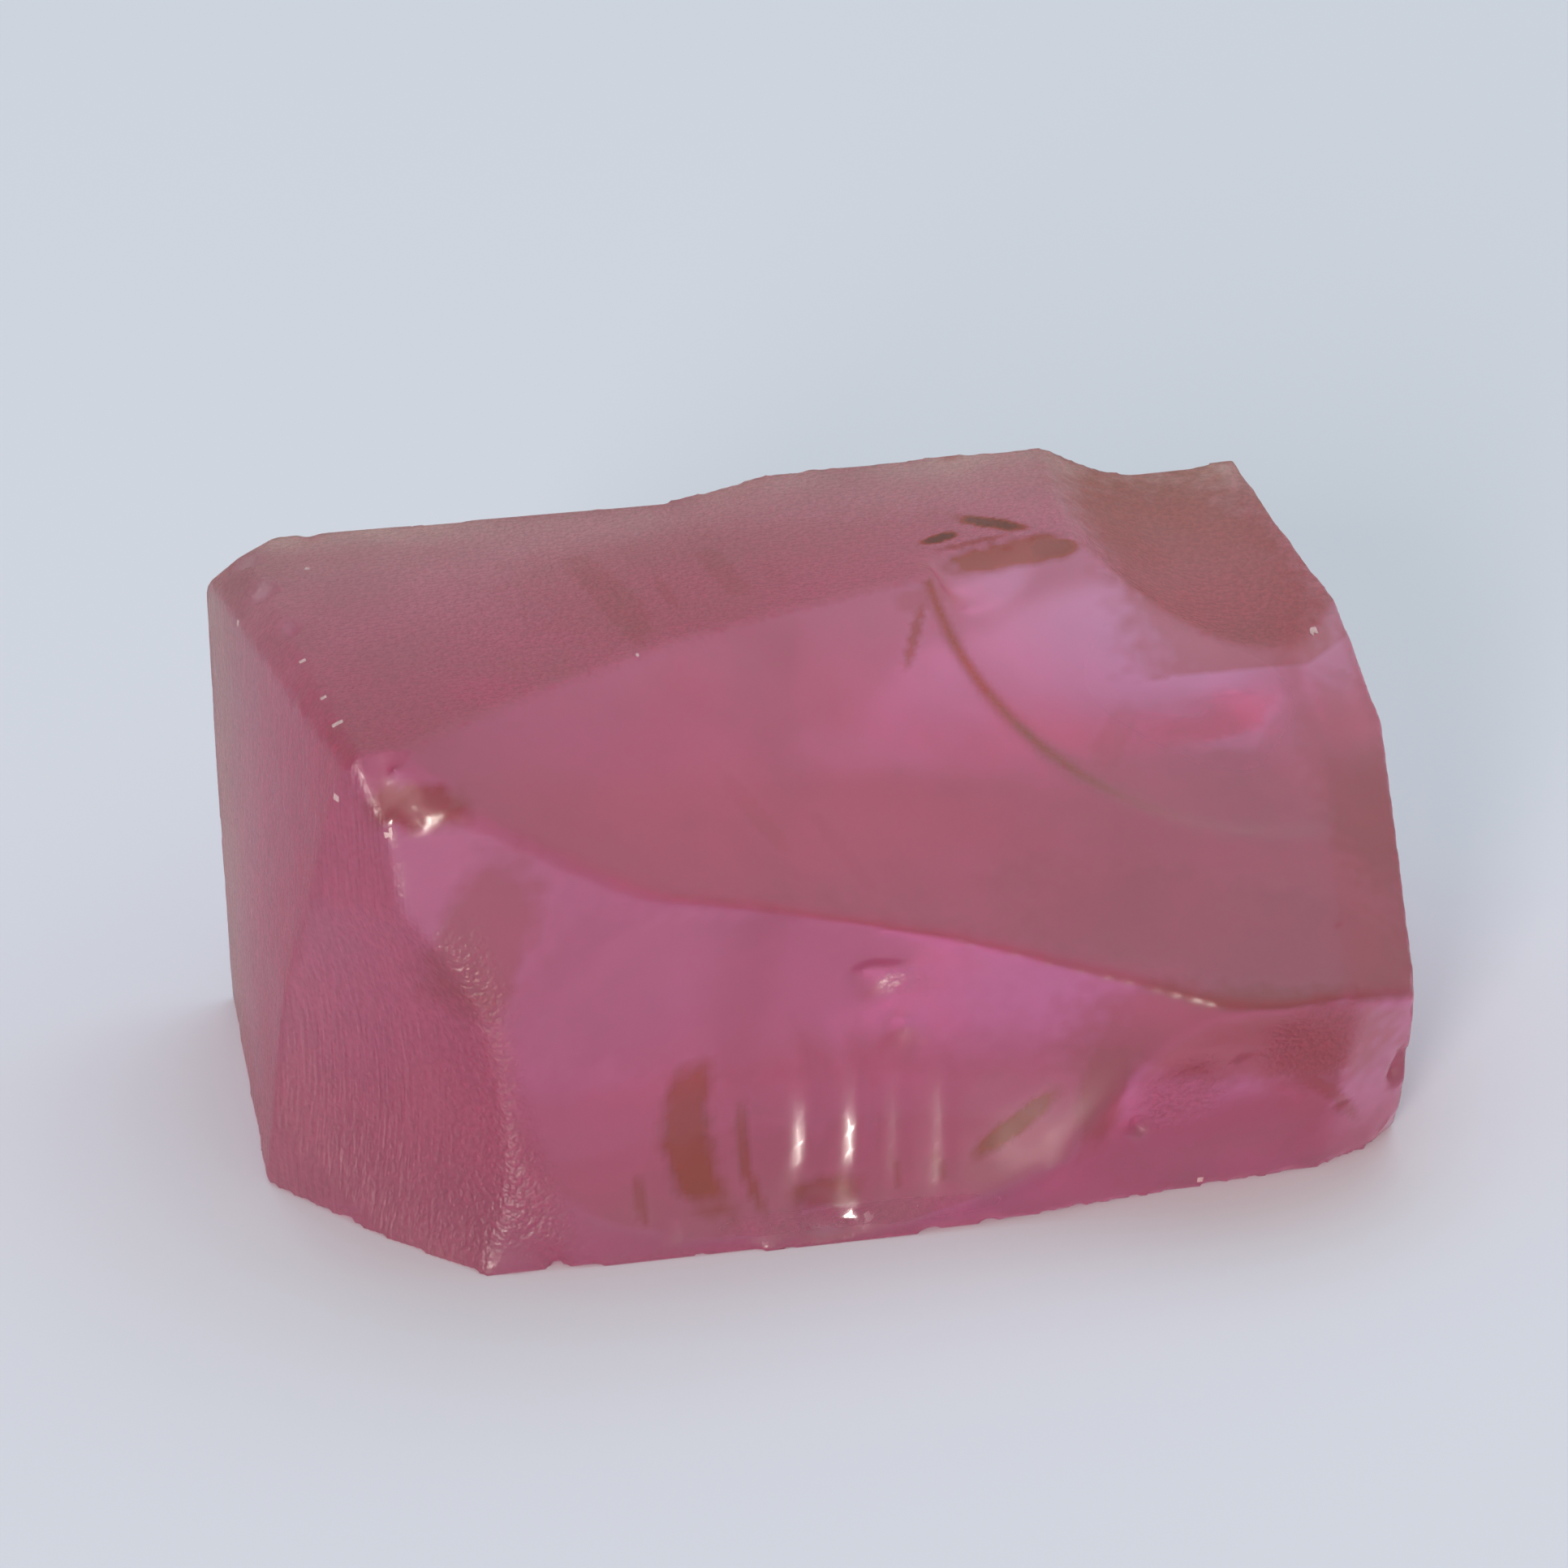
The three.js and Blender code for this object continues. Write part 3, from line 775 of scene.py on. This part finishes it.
# Grinding grit leaves grains, and patches more or less worn. The saw leaves lines down the left end.
GRAINS_PER_MM = 5.0
PATCHES_PER_MM = 0.35
PATCH_RANGE = (0.3, 0.7)  # the noise of the least and of the most worn patch
BLOTCH_RANGE = (0.35, 0.65)
SPECK_RANGE = (0.4, 0.62)
SAW_LINES = (4.0, 4.0, 0.35)  # the saw's marks are squeezed across its lines and drawn out along them
SAW_MARKS_PER_MM = 1.6
SAW_FADES = (-12.0, -15.0)  # the saw's lines begin and are full this far to the left, in millimetres
SAW_SHARE = 0.55
MARK_HEIGHT = 0.12 * MM
PATCH_FROST = (0.8, 1.25)  # the frost of the least and the most worn patch
CLEAN_POLISH = 0.35  # how rough the cleanest fracture is against an ordinary one
CLEANEST = 0.7  # where a patch counts as the cleanest
NICK_ROUGHNESS = 0.6
SPECK_SHADE = 0.82
BLOTCH_SHADE = 0.88
DARKEST_STAIN_AND_SHADE = 0.1
SHEEN = (0.35, 0.05)  # the clear shine on a fracture, and on a ground face or nick
SHINE_ROUGHNESS = 0.05
SHINE_IOR = 1.7
DENSEST = 0.98  # the share that is taken up of the colour that is taken up most
POWDER_PER_MM = 6.0
POWDER_ROUGHNESS = 0.5


def add_node(tree, kind, sockets=None, **settings):
    """Add a node: settings are its own properties, sockets are values or other nodes' outputs."""
    new = tree.nodes.new(kind)
    for name, value in settings.items():
        setattr(new, name, value)
    for name, value in (sockets or {}).items():
        if isinstance(value, bpy.types.NodeSocket):
            tree.links.new(value, new.inputs[name])
        else:
            new.inputs[name].default_value = value
    return new


def empty_material(name):
    material = bpy.data.materials.new(name)
    material.use_nodes = True
    material.node_tree.nodes.clear()
    return material, material.node_tree


def sapphire_material(look):
    """Corundum: see-through, strongly refracting, its pink taken up by depth. Fractures are glassy, ground
    faces are frosted and faintly brown, and the nicks are rough."""
    material, tree = empty_material("Corundum, pink, part ground and part fractured")
    coords = add_node(tree, "ShaderNodeTexCoord").outputs["Object"]
    in_mm = add_node(tree, "ShaderNodeVectorMath", {0: coords, 3: 1 / MM}, operation="SCALE").outputs[0]
    ground, nicked, stain_and_shade, fresh = (
        add_node(tree, "ShaderNodeAttribute", attribute_name=name).outputs["Fac"]
        for name in ("ground", "nicked", "stain_and_shade", "fresh"))

    # Frost: grinding grains, drawn 0.2 mm across so that they show, in patches of a few millimetres.
    grain = add_node(tree, "ShaderNodeTexNoise", {
        "Vector": in_mm, "Scale": GRAINS_PER_MM, "Detail": 1.0}).outputs[0]
    patches = add_node(tree, "ShaderNodeTexNoise", {
        "Vector": in_mm, "Scale": PATCHES_PER_MM, "Detail": 2.0}).outputs[0]
    frost = add_node(tree, "ShaderNodeMapRange", {
        "Value": patches, "From Min": PATCH_RANGE[0], "From Max": PATCH_RANGE[1],
        "To Min": PATCH_FROST[0] * look.frost, "To Max": PATCH_FROST[1] * look.frost}).outputs[0]
    cleanest = add_node(tree, "ShaderNodeMapRange", {"Value": fresh, "From Min": CLEANEST}).outputs[0]
    polish = add_node(tree, "ShaderNodeMix", {
        0: cleanest, 2: look.polish, 3: CLEAN_POLISH * look.polish}).outputs[0]
    roughness = add_node(tree, "ShaderNodeMix", {0: ground, 2: polish, 3: frost}).outputs[0]
    roughness = add_node(tree, "ShaderNodeMix", {0: nicked, 2: roughness, 3: NICK_ROUGHNESS}).outputs[0]

    # The left end is scored from top to bottom by the saw, in lines 0.16 mm apart.
    apart = add_node(
        tree, "ShaderNodeVectorMath", {0: in_mm, 1: SAW_LINES}, operation="MULTIPLY").outputs[0]
    scores = add_node(tree, "ShaderNodeTexNoise", {
        "Vector": apart, "Scale": SAW_MARKS_PER_MM, "Detail": 1.0}).outputs[0]
    sides = add_node(tree, "ShaderNodeSeparateXYZ", {0: in_mm}).outputs
    on_left = add_node(tree, "ShaderNodeMapRange", {
        "Value": sides[0], "From Min": SAW_FADES[0], "From Max": SAW_FADES[1],
        "To Max": SAW_SHARE}).outputs[0]
    marks = add_node(tree, "ShaderNodeMix", {0: on_left, 2: grain, 3: scores}).outputs[0]
    height = add_node(tree, "ShaderNodeMath", {0: marks, 1: ground}, operation="MULTIPLY").outputs[0]
    bump = add_node(tree, "ShaderNodeBump", {"Height": height, "Strength": 1.0, "Distance": MARK_HEIGHT})

    # The skin's tint: the square root of the ground skin's on a weathered fracture, none on a clean one, and
    # brown in the stains and in the painted shade.
    weathered = [math.sqrt(c) for c in look.skin_colour]
    skin = add_node(tree, "ShaderNodeMix", {
        0: fresh, 6: (*weathered, 1), 7: (1, 1, 1, 1)}, data_type="RGBA").outputs[2]
    skin = add_node(tree, "ShaderNodeMix", {
        0: ground, 6: skin, 7: (*look.skin_colour, 1)}, data_type="RGBA").outputs[2]
    skin = add_node(tree, "ShaderNodeMix", {
        0: stain_and_shade, 6: skin, 7: (*look.stain_and_shade_colour, 1)}, data_type="RGBA").outputs[2]
    dark = add_node(tree, "ShaderNodeMapRange", {
        "Value": stain_and_shade, "From Min": 1.0, "From Max": 2.0, "To Min": 1.0,
        "To Max": DARKEST_STAIN_AND_SHADE}).outputs[0]
    skin = add_node(tree, "ShaderNodeVectorMath", {0: skin, 3: dark}, operation="SCALE").outputs[0]
    # Grinding leaves pale and dark specks, in bands along the saw's lines on the left end.
    specks = add_node(tree, "ShaderNodeMapRange", {
        "Value": marks, "From Min": SPECK_RANGE[0], "From Max": SPECK_RANGE[1],
        "To Min": SPECK_SHADE, "To Max": 1.0}).outputs[0]
    specks = add_node(tree, "ShaderNodeMix", {0: ground, 2: 1.0, 3: specks}).outputs[0]
    # The skin is faintly uneven, in blotches of a few millimetres.
    blotches = add_node(tree, "ShaderNodeMapRange", {
        "Value": patches, "From Min": BLOTCH_RANGE[0], "From Max": BLOTCH_RANGE[1],
        "To Min": BLOTCH_SHADE, "To Max": 1.0}).outputs[0]
    specks = add_node(tree, "ShaderNodeMath", {0: specks, 1: blotches}, operation="MULTIPLY").outputs[0]
    skin = add_node(tree, "ShaderNodeVectorMath", {0: skin, 3: specks}, operation="SCALE").outputs[0]
    matt = add_node(tree, "ShaderNodeMath", {0: ground, 1: nicked}).outputs[0]
    gloss = add_node(tree, "ShaderNodeMapRange", {
        "Value": matt, "To Min": SHEEN[0], "To Max": SHEEN[1]}).outputs[0]
    shader = add_node(tree, "ShaderNodeBsdfPrincipled", {
        "Base Color": skin,
        "IOR": look.refraction,
        "Transmission Weight": 1.0,
        "Roughness": roughness,
        "Coat Weight": gloss,
        "Coat Roughness": SHINE_ROUGHNESS,
        "Coat IOR": SHINE_IOR,
        "Normal": bump.outputs[0],
    })
    absorbed = [-math.log(c) / look.body_depth for c in look.body_colour]
    density = max(absorbed) / DENSEST
    volume = add_node(tree, "ShaderNodeVolumeAbsorption", {
        "Color": (*[1 - a / density for a in absorbed], 1), "Density": density})
    add_node(tree, "ShaderNodeOutputMaterial", {"Surface": shader.outputs[0], "Volume": volume.outputs[0]})
    return material


def crushed_and_glint_material(look):
    """Corundum crushed to powder in a nick: pale, with some of the stone's pink, and no light through it. On
    the listed specks the pale powder is also a painted highlight.
    """
    material, tree = empty_material("Corundum, crushed, with painted glints")
    coords = add_node(tree, "ShaderNodeTexCoord").outputs["Object"]
    in_mm = add_node(tree, "ShaderNodeVectorMath", {0: coords, 3: 1 / MM}, operation="SCALE").outputs[0]
    powder = add_node(tree, "ShaderNodeTexNoise", {
        "Vector": in_mm, "Scale": POWDER_PER_MM, "Detail": 3.0}).outputs[0]
    colour = add_node(tree, "ShaderNodeMix", {
        0: powder, 6: (*linear("a5717c"), 1), 7: (*linear("d6b3b9"), 1)}, data_type="RGBA").outputs[2]
    shader = add_node(tree, "ShaderNodeBsdfPrincipled", {
        "Base Color": colour, "Roughness": POWDER_ROUGHNESS, "IOR": look.refraction})
    add_node(tree, "ShaderNodeOutputMaterial", {"Surface": shader.outputs[0]})
    return material


def floor_material(stage):
    """Uncoated paper: an even colour and hardly any shine."""
    material, tree = empty_material("Studio paper, matt")
    shader = add_node(tree, "ShaderNodeBsdfPrincipled", {
        "Base Color": (*stage.floor_colour, 1), "Roughness": 0.9, "Specular IOR Level": 0.2})
    add_node(tree, "ShaderNodeOutputMaterial", {"Surface": shader.outputs[0]})
    return material


# ----------------------------------------------------------------------------------------------------
# Stage
# ----------------------------------------------------------------------------------------------------

VIEW_AZIMUTH = math.radians(-13)
VIEW_HEIGHT = math.radians(24)
VIEW_DISTANCE = 167.27 * MM
VIEW_SLIDE = (-0.961 * MM, 2.442 * MM)  # how far the camera stands to the right of and above its aim
VIEW_AIM = Vector((-CENTRE[0] * MM, -CENTRE[1] * MM, 8 * MM))
LENS = 120
SENSOR = 36
NEAREST_SEEN = 10 * MM

# The large lamp above and behind the stone, which lights the floor. It isn't seen in or through the stone.
LAMP_POWER = 1.48
LAMP_COLOUR = linear("dbedff")
LAMP_SIZE = 0.8
LAMP_PLACE = (0.1, 0.25, 0.8)

# The tall window in front, whose glints lie on the rings and the small flakes.
WINDOW_POWER = 8.0
WINDOW_COLOUR = linear("fff7ea")
WINDOW_SIZE = (0.18, 0.45)
WINDOW_PLACE = (-0.48, -0.87, 0.22)

# The soft light all round comes from six large panels, the sides of a box that leans back: daylight above, a
# warm bounce in front, and a darker room at the sides. Each line is a pair of panels that face each other.
BOX_LEAN = math.radians(20)
PANELS = (
    (linear("97b09c"), linear("2c5a2e")),  # right and left
    (linear("99a68a"), linear("c0c1ac")),  # back and front
    (linear("dceef0"), linear("98b0ce")),  # above and below
)

FLOOR_SIZE = 4.0
FLOOR_GAP = 0.03 * MM


class SAPPHIRE_OT_stage(bpy.types.Operator):
    """Lay the floor, set the lights and place the camera"""

    bl_idname = "sapphire.stage"
    bl_label = "Studio"

    def execute(self, context):
        stage = context.scene.sapphire_stage
        deselect_all()
        bpy.ops.mesh.primitive_plane_add(size=FLOOR_SIZE, location=(0, 0, -FLOOR_GAP))
        floor = bpy.context.object
        floor.name = floor.data.name = "studio_floor"
        floor.data.materials.append(floor_material(stage))
        power = stage.key_power
        lamp = add_light("floor_lamp", power * LAMP_POWER, LAMP_COLOUR, LAMP_SIZE, LAMP_PLACE)
        width, height = WINDOW_SIZE
        window = add_light("window_light", power * WINDOW_POWER, WINDOW_COLOUR, width, WINDOW_PLACE)
        window.data.shape = "RECTANGLE"
        window.data.size_y = height
        window.visible_camera = False
        lamp.visible_glossy = False
        for light in (lamp, window):
            light.visible_transmission = False
        add_world()
        add_camera(context.scene)
        context.scene.view_settings.view_transform = "Standard"
        return {"FINISHED"}


def add_light(name, power, colour, size, place):
    deselect_all()
    turn = Vector(place).to_track_quat("Z", "Y").to_euler()
    bpy.ops.object.light_add(type="AREA", location=place, rotation=turn)
    light = bpy.context.object
    light.name = name
    light.data.shape = "DISK"
    light.data.size = size
    light.data.energy = power
    light.data.color = colour
    return light


def add_world():
    """Light from all round: the colour of each panel, blended evenly into the next one's."""
    world = bpy.data.worlds.new("Soft studio")
    world.use_nodes = True
    tree = world.node_tree
    tree.nodes.clear()
    toward = add_node(tree, "ShaderNodeTexCoord").outputs["Generated"]
    toward = add_node(tree, "ShaderNodeMapping", {
        "Vector": toward, "Rotation": (BOX_LEAN, 0, 0)}, vector_type="NORMAL").outputs[0]
    light = (0, 0, 0)
    for share, pair in zip(add_node(tree, "ShaderNodeSeparateXYZ", {0: toward}).outputs, PANELS):
        both = [(ahead + behind) / 2 for ahead, behind in zip(*pair)]
        lean = [(ahead - behind) / 2 for ahead, behind in zip(*pair)]
        blend = add_node(
            tree, "ShaderNodeVectorMath", {0: both, 1: share, 2: lean}, operation="MULTIPLY_ADD")
        light = add_node(tree, "ShaderNodeVectorMath", {
            0: blend.outputs[0], 1: share, 2: light}, operation="MULTIPLY_ADD").outputs[0]
    background = add_node(tree, "ShaderNodeBackground", {"Color": light})
    add_node(tree, "ShaderNodeOutputWorld", {"Surface": background.outputs[0]})
    bpy.context.scene.world = world


def add_camera(scene):
    turn = Matrix.Rotation(VIEW_AZIMUTH, 3, "Z") @ Matrix.Rotation(math.pi / 2 - VIEW_HEIGHT, 3, "X")
    place = VIEW_AIM + turn @ Vector((*VIEW_SLIDE, VIEW_DISTANCE))
    bpy.ops.object.camera_add(location=place, rotation=turn.to_euler())
    camera = bpy.context.object
    camera.data.lens = LENS
    camera.data.sensor_width = SENSOR
    camera.data.clip_start = NEAREST_SEEN
    scene.camera = camera


class SAPPHIRE_PT_panel(bpy.types.Panel):
    bl_label = "Rough Sapphire"
    bl_space_type = "VIEW_3D"
    bl_region_type = "UI"
    bl_category = "Rough Sapphire"

    def draw(self, context):
        scene = context.scene
        for group, operator in (
            (scene.sapphire_shape, None),
            (scene.sapphire_look, SAPPHIRE_OT_stone),
            (scene.sapphire_stage, SAPPHIRE_OT_stage),
        ):
            for name in group.bl_rna.properties.keys():
                if name not in ("rna_type", "name"):
                    self.layout.prop(group, name)
            if operator:
                self.layout.operator(operator.bl_idname)


GROUPS = {"sapphire_shape": SapphireShape, "sapphire_look": SapphireLook, "sapphire_stage": SapphireStage}
CLASSES = (*GROUPS.values(), SAPPHIRE_OT_stone, SAPPHIRE_OT_stage, SAPPHIRE_PT_panel)


def register():
    for item in CLASSES:
        bpy.utils.register_class(item)
    for name, group in GROUPS.items():
        setattr(bpy.types.Scene, name, PointerProperty(type=group))


def unregister():
    for name in GROUPS:
        delattr(bpy.types.Scene, name)
    for item in reversed(CLASSES):
        bpy.utils.unregister_class(item)


def main():
    register()
    bpy.ops.sapphire.stone()
    bpy.ops.sapphire.stage()


if __name__ == "__main__":
    main()
